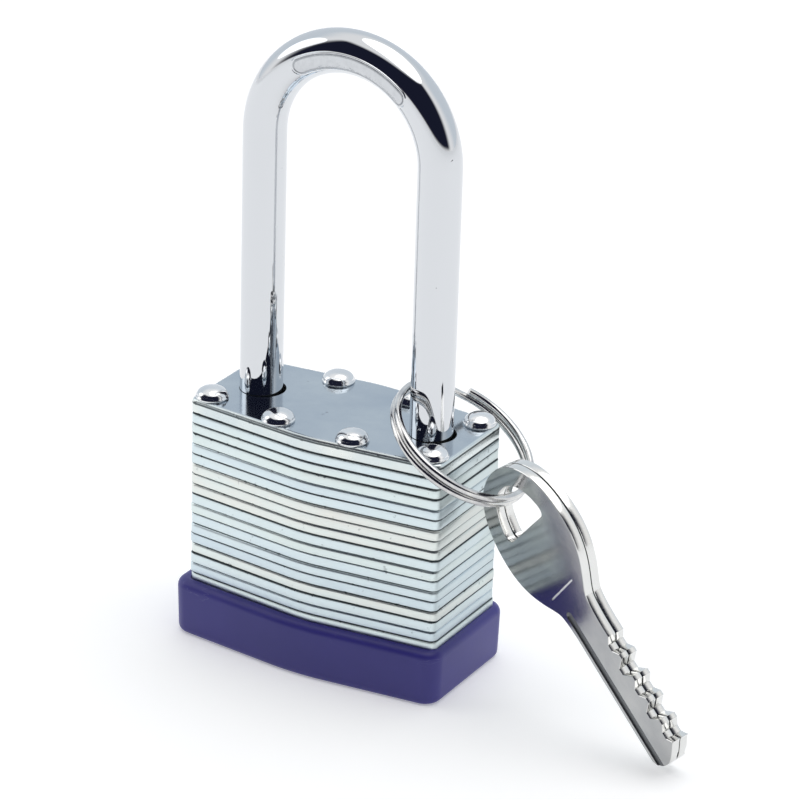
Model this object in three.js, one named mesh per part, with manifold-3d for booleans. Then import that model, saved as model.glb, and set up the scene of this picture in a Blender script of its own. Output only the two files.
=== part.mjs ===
// A laminated padlock, closed and unlocked, with a split ring and two keys hanging on its shackle.
// Millimetres, +Z up, +X to the right along the front, +Y to the back.
import * as THREE from 'three';
import { mergeVertices } from 'three/addons/utils/BufferGeometryUtils.js';
import ManifoldModule from 'manifold-3d';

const wasm = await ManifoldModule();
wasm.setup();

// ---------------------------------------------------------------- driving dimensions
// Lock body: a six-sided stack of plates, deepest in the middle.
const HALF_WIDTH = 20;
const SIDE_HALF_DEPTH = 8.52;
const MIDDLE_HALF_DEPTH = 10.64;
const CORNER_TRIM = 1.9;
const MIDDLE_TRIM = 1.6;
const BODY_HEIGHT = 36;
const TOP_THICKNESS = 2.09;
const LAMINATION_COUNT = 20;
const LAMINATION_PITCH = 1.538;
const PLATE_GAP = 0.04;
const BOTTOM_PLATE_THICKNESS = 1.46;
const NOSE_HOLE_RADIUS = 4.9;

// Plastic bumper around the foot of the body.
const BUMPER_HEIGHT = 8.2;
const BUMPER_WALL = 1.6;
const BUMPER_FLOOR = 1.6;
const BUMPER_ROUNDING = 1.1;
const BUMPER_CLEARANCE = 0.1;
const BUMPER_OPENING_RADIUS = 6.4;

// Rivets through the whole stack.
const RIVET_RADIUS = 1.5;
const RIVET_HOLE_RADIUS = 1.9;
const RIVET_HEAD_RADIUS = 2.48;
const RIVET_HEAD_HEIGHT = 1.62;
const RIVET_COLLAR_HEIGHT = 0.3;
const RIVET_CLEARANCE = 0.05;
const OUTER_RIVET = { x: 17.6, y: 6.52 };
const INNER_RIVET = { x: 5.93, y: 7.93 };

// Shackle: the left leg is the toe that comes out, the right leg is the heel that stays in.
const ROD_RADIUS = 3.04;
const LEG_X = 13.69;
const ARCH_CENTRE_Z = 74.4;
const TOE_END_Z = 25.2;
const HEEL_END_Z = 8.3;
const SHACKLE_LIFT = 11.2;
const LEG_HOLE_RADIUS = 3.5;
const NOTCH_DEPTH = 1.6;
const NOTCH_HALF_HEIGHT = 1.7;
const NECK_RADIUS = 2;
const NECK_CLEARANCE = 0.15;

// Heel pin: a cross pin beside the necked heel leg.
const HEEL_PIN_RADIUS = 1.2;
const HEEL_PIN_X = 10.39;
const HEEL_PIN_Z = 23.144;
const HEEL_PIN_HALF_LENGTH = 5;
const HEEL_PIN_CLEARANCE = 0.2;

// Lock cylinder, upright in the middle of the body.
const PLUG_RADIUS = 5.5;
const PLUG_NOSE_RADIUS = 4.6;
const PLUG_BOTTOM_Z = 3.4;
const PLUG_NOSE_Z = 1.9;
const CYLINDER_TOP_Z = 19.9;
const CYLINDER_BOTTOM_Z = 3.3;
const HOUSING_BORE_RADIUS = 5.7;
const HOUSING_RADIUS = 7.3;
const HOUSING_POCKET_RADIUS = 7.6;
const PIN_BLOCK_END_X = -16.4;
const PIN_BLOCK_HALF_WIDTH = 2.6;
const PIN_BLOCK_CLEARANCE = 0.25;
const PIN_COVER_THICKNESS = 0.7;
const KEYWAY_HALF_WIDTH = 1.2;
const KEYWAY_MIN_X = -3.7;
const KEYWAY_MAX_X = 4.3;

// Pin stacks, one above the other, standing out from the plug to the left.
const PIN_RADIUS = 1.15;
const CHAMBER_RADIUS = 1.35;
const FIRST_PIN_Z = 5.4;
const PIN_TIP_DEPTHS = [2.6, 1.7, 2.3, 1.4];
const KEY_PIN_OUTER_X = -5.3;
const DRIVER_PIN_INNER_X = -5.8;
const DRIVER_PIN_LENGTH = 3.6;

// Cam on top of the plug, with an eccentric pin that drives the bolt.
const CAM_DISC_RADIUS = 4.4;
const CAM_DISC_THICKNESS = 1.5;
const CAM_SHAFT_RADIUS = 2.2;
const CAM_BOTTOM_Z = 20.1;
const CAM_TOP_Z = 27.5;
const ECCENTRICITY = 1.273;
const ECCENTRIC_PIN_RADIUS = 0.8;
const BOLT_BOTTOM_Z = 27.95;
const BOLT_TOP_Z = 30.65;
const BOLT_HALF_WIDTH = 3;
const BOLT_LEFT_X = -10.3;
const BOLT_RIGHT_X = 4.4;
const BOLT_SLOT_END_X = 9.2;
const BOLT_SLOT_HALF_WIDTH = 3.3;
const CAM_HOLE_RADIUS = 5.1;

// Coil springs: mean radius of the coil, radius of the wire and number of turns.
const SHACKLE_SPRING = { radius: 2.2, wire: 0.35, turns: 3.5 };
const BOLT_SPRING = { radius: 1, wire: 0.2, turns: 5 };
const PIN_SPRING = { radius: 0.85, wire: 0.17, turns: 5 };

// Split ring: almost two turns of wire, leaning out over the right edge of the body.
const RING_RADIUS = 10.5;
const RING_WIRE_RADIUS = 0.52;
const RING_PITCH = 1.12;
const RING_TURNS = 1.875;
const RING_RAMP_TURNS = 0.125;
const RING_START_TURN = 0.45;
const RING_CENTRE = new THREE.Vector3(18.55, 0.1, 36);
const RING_NORMAL = new THREE.Vector3(0.537, 0.033, 0.843).normalize();

// Keys.
const KEY_LENGTH = 45.6;
const KEY_THICKNESS = 1.3;
const BOW_HALF_WIDTH = 10;
const BOW_WIDEST_AT = 11;
const BLADE_START = 25.5;
const BLADE_HALF_WIDTH = 3.8;
const FIRST_CUT = 28.6;
const CUT_PITCH = 3.4;
const CUT_DEPTHS = [1.2, 2, 1.3, 1.9, 1.1];
const CUT_HALF_WIDTH = 1.35;
const CUT_FLOOR_HALF_WIDTH = 0.45;
const KEY_TIP_LENGTH = 1.6;
const GROOVE = { from: -2.9, to: -1.5, depth: 0.35 };
const HOLE_BASE_X = 9;
const HOLE_TOP_X = 2.6;
const HOLE_HALF_WIDTH = 5;
const KEY_LENGTH_DIRECTION = new THREE.Vector3(0.7038, -0.1413, -0.6962).normalize();
const KEY_FACE_DIRECTION = new THREE.Vector3(-0.3727, -0.908, -0.1916).normalize();
const KEY_1_WIRE_ANGLE = THREE.MathUtils.degToRad(-16.1);
const KEY_2_WIRE_ANGLE = THREE.MathUtils.degToRad(-7.7);
const KEY_1_HOLE_POINT = new THREE.Vector2(4.13, -1.05);
const KEY_2_HOLE_POINT = new THREE.Vector2(4.15, -1.66);

// ---------------------------------------------------------------- materials
const steel = (color, roughness = 0.3) => new THREE.MeshStandardMaterial({ color, roughness, metalness: 1 });
const TOP_STEEL = steel(0xb4bec6, 0.22);
const ZINC_STEEL = steel(0xd6e0de, 0.42);
const RIVET_STEEL = steel(0xd9dcdf, 0.2);
const CHROME = steel(0xe4e6e8, 0.08);
const SPRING_STEEL = steel(0x9aa0a6, 0.35);
const NICKEL = steel(0xb9babc, 0.18);
const BRASS = steel(0xc9a24a, 0.3);
const PLATED_STEEL = steel(0xa4a9ac, 0.4);
const BUMPER_PLASTIC = new THREE.MeshStandardMaterial({ color: 0x43409a, roughness: 0.45, metalness: 0 });

// ---------------------------------------------------------------- helpers
const padlock = new THREE.Group();
const X_AXIS = new THREE.Vector3(1, 0, 0);
const Z_AXIS = new THREE.Vector3(0, 0, 1);

function addMesh(name, geometry, material) {
  const mesh = new THREE.Mesh(geometry, material);
  mesh.name = name;
  padlock.add(mesh);
  return mesh;
}

// Solid for joining and cutting, from a closed geometry.
function toSolid(geometry) {
  const bare = geometry.clone();
  bare.deleteAttribute('normal');
  bare.deleteAttribute('uv');
  const merged = mergeVertices(bare, 1e-4);
  return new wasm.Manifold(new wasm.Mesh({
    numProp: 3,
    vertProperties: merged.attributes.position.array,
    triVerts: Uint32Array.from(merged.index.array),
  }));
}

function toGeometry(solid) {
  const mesh = solid.getMesh();
  const geometry = new THREE.BufferGeometry();
  geometry.setAttribute('position', new THREE.BufferAttribute(mesh.vertProperties, 3));
  geometry.setIndex(new THREE.BufferAttribute(mesh.triVerts, 1));
  return geometry;
}

const cut = (geometry, ...tools) => toGeometry(
  tools.reduce((solid, tool) => solid.subtract(toSolid(tool)), toSolid(geometry)));
const join = (geometry, ...others) => toGeometry(
  others.reduce((solid, other) => solid.add(toSolid(other)), toSolid(geometry)));

const block = (x0, x1, y0, y1, z0, z1) => new THREE.BoxGeometry(x1 - x0, y1 - y0, z1 - z0)
  .translate((x0 + x1) / 2, (y0 + y1) / 2, (z0 + z1) / 2);

// Upright cylinder between two heights.
const post = (radius, z0, z1, sides, x = 0, y = 0) => new THREE.CylinderGeometry(
  radius, radius, z1 - z0, sides).rotateX(Math.PI / 2).translate(x, y, (z0 + z1) / 2);

// Solid of revolution about an upright axis, from [radius, z] pairs that start and end on the axis or close.
const turned = (profile, sides) => new THREE.LatheGeometry(
  profile.map(([radius, z]) => new THREE.Vector2(radius, z)), sides).rotateX(Math.PI / 2);

// Points of an arc, counter-clockwise when the end angle is larger.
function arcPoints(x, y, radius, startAngle, endAngle, steps) {
  return Array.from({ length: steps + 1 }, (_, i) => {
    const angle = THREE.MathUtils.lerp(startAngle, endAngle, i / steps);
    return new THREE.Vector2(x + radius * Math.cos(angle), y + radius * Math.sin(angle));
  });
}

const roundHole = (x, y, radius, sides) => new THREE.Path(
  arcPoints(x, y, radius, 0, 2 * Math.PI, sides).slice(0, -1));

const roundSection = (radius, sides) => new THREE.Shape(
  arcPoints(0, 0, radius, 0, 2 * Math.PI, sides).slice(0, -1));

function alongCurve(curve, radius, sides, steps) {
  return new THREE.ExtrudeGeometry(roundSection(radius, sides), {
    steps, extrudePath: curve, bevelEnabled: false,
  });
}

// Six-sided outline with rounded corners, grown outwards by a wall thickness.
function bodyOutline(outset = 0) {
  const slope = Math.atan((MIDDLE_HALF_DEPTH - SIDE_HALF_DEPTH) / HALF_WIDTH);
  const width = HALF_WIDTH + outset;
  const middle = MIDDLE_HALF_DEPTH + outset / Math.cos(slope);
  const side = middle - width * Math.tan(slope);
  const corners = [[width, side], [0, middle], [-width, side], [-width, -side], [0, -middle], [width, -side]]
    .map(([x, y]) => new THREE.Vector2(x, y));
  const shape = new THREE.Shape();
  corners.forEach((corner, i) => {
    const trim = (corner.x === 0 ? MIDDLE_TRIM : CORNER_TRIM) + outset * 0.6;
    const before = corners[(i + 5) % 6].clone().sub(corner).setLength(trim).add(corner);
    const after = corners[(i + 1) % 6].clone().sub(corner).setLength(trim).add(corner);
    if (i === 0) shape.moveTo(before.x, before.y);
    else shape.lineTo(before.x, before.y);
    shape.quadraticCurveTo(corner.x, corner.y, after.x, after.y);
  });
  shape.closePath();
  return shape;
}

// Helix about +Z, for the coil springs.
class Helix extends THREE.Curve {
  constructor(radius, height, turns) {
    super();
    Object.assign(this, { radius, height, turns });
  }

  getPoint(t, target = new THREE.Vector3()) {
    const angle = 2 * Math.PI * this.turns * t;
    return target.set(this.radius * Math.cos(angle), this.radius * Math.sin(angle), this.height * t);
  }
}

// Coil spring that starts at `start` and runs `length` along `direction`.
function addSpring(name, { radius, wire, turns }, length, start, direction) {
  const curve = new Helix(radius, length - 2 * wire, turns);
  const spring = addMesh(name, alongCurve(curve, wire, 4, turns * 8), SPRING_STEEL);
  spring.quaternion.setFromUnitVectors(Z_AXIS, direction);
  spring.position.copy(start).addScaledVector(direction, wire);
}

// ---------------------------------------------------------------- plate stack
const RIVETS = [-1, 1].flatMap((sideX) => [-1, 1].flatMap((sideY) => [OUTER_RIVET, INNER_RIVET]
  .map(({ x, y }) => ({ x: sideX * x, y: sideY * y }))));
const rivetHoles = () => RIVETS.map(({ x, y }) => roundHole(x, y, RIVET_HOLE_RADIUS, 5));
const legHole = (x) => roundHole(x, 0, LEG_HOLE_RADIUS, 10);

// Leg hole that opens into the slot of the locking bolt.
function boltSlotHole() {
  const meet = Math.asin(BOLT_SLOT_HALF_WIDTH / LEG_HOLE_RADIUS);
  return new THREE.Path([
    ...arcPoints(-LEG_X, 0, LEG_HOLE_RADIUS, meet, 2 * Math.PI - meet, 8),
    new THREE.Vector2(BOLT_SLOT_END_X, -BOLT_SLOT_HALF_WIDTH),
    new THREE.Vector2(BOLT_SLOT_END_X, BOLT_SLOT_HALF_WIDTH),
  ]);
}

// Heel leg hole with the cross slot that holds the heel pin.
function heelPinHole() {
  const slotRight = HEEL_PIN_X + HEEL_PIN_RADIUS + HEEL_PIN_CLEARANCE;
  const slotLeft = HEEL_PIN_X - HEEL_PIN_RADIUS - HEEL_PIN_CLEARANCE;
  const slotEnd = HEEL_PIN_HALF_LENGTH + HEEL_PIN_CLEARANCE;
  const meet = Math.acos((slotRight - LEG_X) / LEG_HOLE_RADIUS);
  return new THREE.Path([
    ...arcPoints(LEG_X, 0, LEG_HOLE_RADIUS, -meet, meet, 8),
    new THREE.Vector2(slotRight, slotEnd),
    new THREE.Vector2(slotLeft, slotEnd),
    new THREE.Vector2(slotLeft, -slotEnd),
    new THREE.Vector2(slotRight, -slotEnd),
  ]);
}

// Round pocket of the cylinder with the straight pocket of its pin block.
function cylinderPocket() {
  const halfWidth = PIN_BLOCK_HALF_WIDTH + PIN_BLOCK_CLEARANCE;
  const endX = PIN_BLOCK_END_X - PIN_COVER_THICKNESS - 2 * PIN_BLOCK_CLEARANCE;
  const meet = Math.PI - Math.asin(halfWidth / HOUSING_POCKET_RADIUS);
  return new THREE.Path([
    ...arcPoints(0, 0, HOUSING_POCKET_RADIUS, -meet, meet, 14),
    new THREE.Vector2(endX, halfWidth),
    new THREE.Vector2(endX, -halfWidth),
  ]);
}

// Openings of one lamination, counted from the top of the stack.
function laminationHoles(number) {
  if (number <= 2) return [legHole(-LEG_X), legHole(LEG_X)];
  if (number <= 4) return [boltSlotHole(), legHole(LEG_X)];
  const centre = roundHole(0, 0, CAM_HOLE_RADIUS, 12);
  if (number <= 6) return [legHole(-LEG_X), legHole(LEG_X), centre];
  if (number <= 8) return [heelPinHole(), centre];
  if (number === 9) return [legHole(LEG_X), centre];
  return [legHole(LEG_X), cylinderPocket()];
}

function addPlate(name, topZ, thickness, holes, material) {
  const shape = bodyOutline();
  shape.holes.push(...rivetHoles(), ...holes);
  const geometry = new THREE.ExtrudeGeometry(shape, {
    depth: thickness, bevelEnabled: false, curveSegments: 3,
  });
  addMesh(name, geometry, material).position.z = topZ - thickness;
}

addPlate('top_plate', BODY_HEIGHT, TOP_THICKNESS, [legHole(-LEG_X), legHole(LEG_X)], TOP_STEEL);
const stackTopZ = BODY_HEIGHT - TOP_THICKNESS - PLATE_GAP / 2;
for (let number = 1; number <= LAMINATION_COUNT; number += 1) {
  const name = `lamination_${String(number).padStart(2, '0')}`;
  const topZ = stackTopZ - (number - 1) * LAMINATION_PITCH;
  addPlate(name, topZ, LAMINATION_PITCH - PLATE_GAP, laminationHoles(number), ZINC_STEEL);
}
const bottomPlateTopZ = stackTopZ - LAMINATION_COUNT * LAMINATION_PITCH;
const noseHole = roundHole(0, 0, NOSE_HOLE_RADIUS, 16);
addPlate('bottom_plate', bottomPlateTopZ, BOTTOM_PLATE_THICKNESS, [noseHole], ZINC_STEEL);

// ---------------------------------------------------------------- rivets
function rivetGeometry() {
  const rim = BODY_HEIGHT + RIVET_CLEARANCE;
  const rise = RIVET_HEAD_HEIGHT - RIVET_COLLAR_HEIGHT - RIVET_CLEARANCE;
  const dome = arcPoints(0, 0, 1, 0, Math.PI / 2, 4).map(({ x, y }) => [
    RIVET_HEAD_RADIUS * x, rim + RIVET_COLLAR_HEIGHT + rise * y]);
  const shankEnd = bottomPlateTopZ - BOTTOM_PLATE_THICKNESS + RIVET_CLEARANCE;
  const profile = [[0, shankEnd], [RIVET_RADIUS, shankEnd], [RIVET_RADIUS, rim],
    [RIVET_HEAD_RADIUS * 0.94, rim], ...dome.slice(0, -1), [0, dome.at(-1)[1]]];
  return turned(profile, 10);
}

RIVETS.forEach(({ x, y }, i) => {
  addMesh(`rivet_${i + 1}`, rivetGeometry(), RIVET_STEEL).position.set(x, y, 0);
});

// ---------------------------------------------------------------- bumper
function bumperGeometry() {
  const outside = new THREE.ExtrudeGeometry(bodyOutline(BUMPER_WALL), {
    depth: BUMPER_HEIGHT - 2 * BUMPER_ROUNDING,
    bevelThickness: BUMPER_ROUNDING,
    bevelSize: BUMPER_ROUNDING,
    bevelOffset: -BUMPER_ROUNDING,
    bevelSegments: 2,
    curveSegments: 4,
  }).translate(0, 0, BUMPER_ROUNDING);
  const inside = new THREE.ExtrudeGeometry(bodyOutline(BUMPER_CLEARANCE), {
    depth: BUMPER_HEIGHT,
    bevelEnabled: false,
    curveSegments: 4,
  }).translate(0, 0, BUMPER_FLOOR);
  return cut(outside, inside, post(BUMPER_OPENING_RADIUS, -1, BUMPER_FLOOR + 1, 24));
}

addMesh('bumper', bumperGeometry(), BUMPER_PLASTIC);

// ---------------------------------------------------------------- shackle
// Up the heel leg, around the arch and down the toe leg.
function shacklePath() {
  const path = new THREE.CurvePath();
  const at = (x, z) => new THREE.Vector3(x, 0, z);
  path.add(new THREE.LineCurve3(at(LEG_X, HEEL_END_Z), at(LEG_X, ARCH_CENTRE_Z)));
  path.add(new Arch());
  path.add(new THREE.LineCurve3(at(-LEG_X, ARCH_CENTRE_Z), at(-LEG_X, TOE_END_Z)));
  return path;
}

class Arch extends THREE.Curve {
  getPoint(t, target = new THREE.Vector3()) {
    return target.set(LEG_X * Math.cos(Math.PI * t), 0, ARCH_CENTRE_Z + LEG_X * Math.sin(Math.PI * t));
  }
}

function shackleGeometry() {
  const rod = alongCurve(shacklePath(), ROD_RADIUS, 12, 66);
  const notchX = -LEG_X + ROD_RADIUS - NOTCH_DEPTH;
  const notchZ = (BOLT_BOTTOM_Z + BOLT_TOP_Z) / 2;
  const notch = block(notchX, notchX + 4, -4, 4, notchZ - NOTCH_HALF_HEIGHT, notchZ + NOTCH_HALF_HEIGHT);
  const neckTop = HEEL_PIN_Z + HEEL_PIN_RADIUS + NECK_CLEARANCE;
  const neckBottom = HEEL_PIN_Z - HEEL_PIN_RADIUS - SHACKLE_LIFT - NECK_CLEARANCE;
  const collar = ROD_RADIUS + 1;
  const neck = turned([[NECK_RADIUS, neckBottom], [collar, neckBottom], [collar, neckTop],
    [NECK_RADIUS, neckTop], [NECK_RADIUS, neckBottom]], 12).translate(LEG_X, 0, 0);
  return cut(rod, notch, neck);
}

addMesh('shackle', shackleGeometry(), CHROME);
const springFloorZ = bottomPlateTopZ + 0.1;
addSpring('shackle_spring', SHACKLE_SPRING, HEEL_END_Z - 0.1 - springFloorZ,
  new THREE.Vector3(LEG_X, 0, springFloorZ), Z_AXIS);

const heelPin = new THREE.CylinderGeometry(HEEL_PIN_RADIUS, HEEL_PIN_RADIUS, 2 * HEEL_PIN_HALF_LENGTH, 12);
addMesh('heel_pin', heelPin, PLATED_STEEL).position.set(HEEL_PIN_X, 0, HEEL_PIN_Z);

// ---------------------------------------------------------------- lock cylinder
const pinZ = (row) => FIRST_PIN_Z + row * CUT_PITCH;

// Pin chamber: a drilled hole along X, centred on one pin row.
const chamber = (x0, x1, row) => new THREE.CylinderGeometry(CHAMBER_RADIUS, CHAMBER_RADIUS, x1 - x0, 8)
  .rotateZ(Math.PI / 2).translate((x0 + x1) / 2, 0, pinZ(row));
const rows = PIN_TIP_DEPTHS.map((_, row) => row);

const housing = join(
  post(HOUSING_RADIUS, CYLINDER_BOTTOM_Z, CYLINDER_TOP_Z, 24),
  block(PIN_BLOCK_END_X, -4, -PIN_BLOCK_HALF_WIDTH, PIN_BLOCK_HALF_WIDTH, CYLINDER_BOTTOM_Z, CYLINDER_TOP_Z));
addMesh('cylinder_housing', cut(housing,
  post(HOUSING_BORE_RADIUS, CYLINDER_BOTTOM_Z - 1, CYLINDER_TOP_Z + 1, 24),
  ...rows.map((row) => chamber(PIN_BLOCK_END_X - 1, -4, row))), BRASS);

const coverX = PIN_BLOCK_END_X - 0.05;
addMesh('pin_cover', block(coverX - PIN_COVER_THICKNESS, coverX, -PIN_BLOCK_HALF_WIDTH, PIN_BLOCK_HALF_WIDTH,
  CYLINDER_BOTTOM_Z, CYLINDER_TOP_Z), BRASS);

const plug = turned([[0, PLUG_NOSE_Z], [PLUG_NOSE_RADIUS, PLUG_NOSE_Z], [PLUG_NOSE_RADIUS, PLUG_BOTTOM_Z],
  [PLUG_RADIUS, PLUG_BOTTOM_Z], [PLUG_RADIUS, CYLINDER_TOP_Z], [0, CYLINDER_TOP_Z]], 24);
addMesh('plug', cut(plug,
  block(KEYWAY_MIN_X, KEYWAY_MAX_X, -KEYWAY_HALF_WIDTH, KEYWAY_HALF_WIDTH,
    PLUG_NOSE_Z - 1, CYLINDER_TOP_Z + 1),
  ...rows.map((row) => chamber(-PLUG_RADIUS - 1, -0.2, row))), BRASS);

// Pins and springs lie along X; a key pin's tip is a short cone.
function addPinStack(row) {
  const z = pinZ(row);
  const tipX = -PIN_TIP_DEPTHS[row];
  const length = tipX - KEY_PIN_OUTER_X;
  const keyPin = turned([[0, 0], [PIN_RADIUS, 0], [PIN_RADIUS, length - 0.8], [0.35, length],
    [0, length]], 8);
  const keyPinMesh = addMesh(`key_pin_${row + 1}`, keyPin.rotateY(Math.PI / 2), BRASS);
  keyPinMesh.position.set(KEY_PIN_OUTER_X, 0, z);
  const driverPin = new THREE.CylinderGeometry(PIN_RADIUS, PIN_RADIUS, DRIVER_PIN_LENGTH, 8)
    .rotateZ(Math.PI / 2);
  const driverPinMesh = addMesh(`driver_pin_${row + 1}`, driverPin, BRASS);
  driverPinMesh.position.set(DRIVER_PIN_INNER_X - DRIVER_PIN_LENGTH / 2, 0, z);
  const springStart = DRIVER_PIN_INNER_X - DRIVER_PIN_LENGTH - 0.1;
  addSpring(`pin_spring_${row + 1}`, PIN_SPRING, springStart - PIN_BLOCK_END_X,
    new THREE.Vector3(springStart, 0, z), X_AXIS.clone().negate());
}

rows.forEach(addPinStack);

// ---------------------------------------------------------------- cam, bolt and bolt spring
const eccentricOffset = ECCENTRICITY * Math.SQRT1_2;
const camDiscTopZ = CAM_BOTTOM_Z + CAM_DISC_THICKNESS;
const camBody = turned([[0, CAM_BOTTOM_Z], [CAM_DISC_RADIUS, CAM_BOTTOM_Z], [CAM_DISC_RADIUS, camDiscTopZ],
  [CAM_SHAFT_RADIUS, camDiscTopZ], [CAM_SHAFT_RADIUS, CAM_TOP_Z], [0, CAM_TOP_Z]], 16);
addMesh('cam', join(camBody, post(ECCENTRIC_PIN_RADIUS, CAM_TOP_Z - 0.5, BOLT_TOP_Z - 0.2, 12,
  eccentricOffset, -eccentricOffset)), BRASS);

const slotHalfWidth = ECCENTRIC_PIN_RADIUS + 0.12;
addMesh('locking_bolt', cut(
  block(BOLT_LEFT_X, BOLT_RIGHT_X, -BOLT_HALF_WIDTH, BOLT_HALF_WIDTH, BOLT_BOTTOM_Z, BOLT_TOP_Z),
  block(eccentricOffset - slotHalfWidth, eccentricOffset + slotHalfWidth,
    -ECCENTRICITY - ECCENTRIC_PIN_RADIUS - 0.2, 0.2, BOLT_BOTTOM_Z - 1, BOLT_TOP_Z + 1)), PLATED_STEEL);
addSpring('bolt_spring', BOLT_SPRING, BOLT_SLOT_END_X - BOLT_RIGHT_X - 0.3,
  new THREE.Vector3(BOLT_RIGHT_X + 0.15, 0, (BOLT_BOTTOM_Z + BOLT_TOP_Z) / 2), X_AXIS);

// ---------------------------------------------------------------- split ring
// Ring plane: its X axis points down the slope, its Z axis is the ring's normal.
const ringDownhill = Z_AXIS.clone().negate().projectOnPlane(RING_NORMAL).normalize();
const ringFrame = new THREE.Matrix4().makeBasis(
  ringDownhill, RING_NORMAL.clone().cross(ringDownhill), RING_NORMAL).setPosition(RING_CENTRE);

// One turn on the lower level, a short ramp, then a turn on the upper level.
class SplitRingCurve extends THREE.Curve {
  getPoint(t, target = new THREE.Vector3()) {
    const turns = RING_TURNS * t;
    const ramp = THREE.MathUtils.smoothstep(turns, 1 - RING_RAMP_TURNS, 1);
    const angle = 2 * Math.PI * (turns + RING_START_TURN);
    return target.set(RING_RADIUS * Math.cos(angle), RING_RADIUS * Math.sin(angle),
      RING_PITCH * (ramp - 0.5));
  }
}

const keyRing = addMesh('key_ring', alongCurve(new SplitRingCurve(), RING_WIRE_RADIUS, 8, 60), NICKEL);
keyRing.applyMatrix4(ringFrame);

// ---------------------------------------------------------------- keys
// Flat key: X runs from bow to tip, Y across the blade with the cuts on +Y, Z through the thickness.
function keyOutline() {
  const shape = new THREE.Shape();
  shape.moveTo(0, 0);
  shape.bezierCurveTo(0, -6.5, 4.5, -BOW_HALF_WIDTH, BOW_WIDEST_AT, -BOW_HALF_WIDTH);
  shape.bezierCurveTo(17, -BOW_HALF_WIDTH, 20, -4.4, BLADE_START, -BLADE_HALF_WIDTH);
  shape.lineTo(KEY_LENGTH - KEY_TIP_LENGTH, -BLADE_HALF_WIDTH);
  shape.quadraticCurveTo(KEY_LENGTH, -BLADE_HALF_WIDTH + 0.6, KEY_LENGTH, -0.4);
  shape.quadraticCurveTo(KEY_LENGTH - 0.4, 1.4, KEY_LENGTH - KEY_TIP_LENGTH, BLADE_HALF_WIDTH - 0.8);
  [...CUT_DEPTHS].reverse().forEach((depth, i) => {
    const middle = FIRST_CUT + (CUT_DEPTHS.length - 1 - i) * CUT_PITCH;
    shape.lineTo(middle + CUT_HALF_WIDTH, BLADE_HALF_WIDTH);
    shape.lineTo(middle + CUT_FLOOR_HALF_WIDTH, BLADE_HALF_WIDTH - depth);
    shape.lineTo(middle - CUT_FLOOR_HALF_WIDTH, BLADE_HALF_WIDTH - depth);
    shape.lineTo(middle - CUT_HALF_WIDTH, BLADE_HALF_WIDTH);
  });
  shape.lineTo(BLADE_START, BLADE_HALF_WIDTH);
  shape.bezierCurveTo(20, 4.4, 17, BOW_HALF_WIDTH, BOW_WIDEST_AT, BOW_HALF_WIDTH);
  shape.bezierCurveTo(4.5, BOW_HALF_WIDTH, 0, 6.5, 0, 0);
  return shape;
}

// Hole in the bow: straight towards the blade, arched towards the top.
function bowHole() {
  const hole = new THREE.Path();
  hole.moveTo(HOLE_BASE_X, -HOLE_HALF_WIDTH);
  hole.lineTo(HOLE_BASE_X, HOLE_HALF_WIDTH);
  hole.quadraticCurveTo(8.7, 6, 7.4, 5.8);
  hole.bezierCurveTo(4.6, 5, HOLE_TOP_X, 3, HOLE_TOP_X, 0);
  hole.bezierCurveTo(HOLE_TOP_X, -3, 4.6, -5, 7.4, -5.8);
  hole.quadraticCurveTo(8.7, -6, HOLE_BASE_X, -HOLE_HALF_WIDTH);
  return hole;
}

// Key that hangs on the ring: the wire passes through the hole at `holePoint`.
function addKey(name, wireAngle, holePoint) {
  const outline = keyOutline();
  outline.holes.push(bowHole());
  const blank = new THREE.ExtrudeGeometry(outline, {
    depth: KEY_THICKNESS, bevelEnabled: false, curveSegments: 6,
  }).translate(0, 0, -KEY_THICKNESS / 2);
  const groove = block(BLADE_START - 1, KEY_LENGTH + 1, GROOVE.from, GROOVE.to,
    KEY_THICKNESS / 2 - GROOVE.depth, KEY_THICKNESS);
  const key = addMesh(name, cut(blank, groove).translate(-holePoint.x, -holePoint.y, 0), NICKEL);
  const face = KEY_FACE_DIRECTION.clone().projectOnPlane(KEY_LENGTH_DIRECTION).normalize();
  const wirePoint = new THREE.Vector3(RING_RADIUS * Math.cos(wireAngle), RING_RADIUS * Math.sin(wireAngle), 0)
    .applyMatrix4(ringFrame);
  const across = face.clone().cross(KEY_LENGTH_DIRECTION);
  key.applyMatrix4(new THREE.Matrix4().makeBasis(KEY_LENGTH_DIRECTION, across, face).setPosition(wirePoint));
}

addKey('key_1', KEY_1_WIRE_ANGLE, KEY_1_HOLE_POINT);
addKey('key_2', KEY_2_WIRE_ANGLE, KEY_2_HOLE_POINT);

// ---------------------------------------------------------------- origin
// The part's origin is the middle of its base.
const bounds = new THREE.Box3().setFromObject(padlock, true);
const middle = bounds.getCenter(new THREE.Vector3());
padlock.position.set(-middle.x, -middle.y, -bounds.min.z);
const part = new THREE.Group();
part.add(padlock);

export default part;
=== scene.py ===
"""Laminated padlock with a tall chrome shackle, a split ring and two keys. Metres, +Z up."""
import math
from math import cos, radians, sin

import bmesh
import bpy
from mathutils import Matrix, Vector


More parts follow.
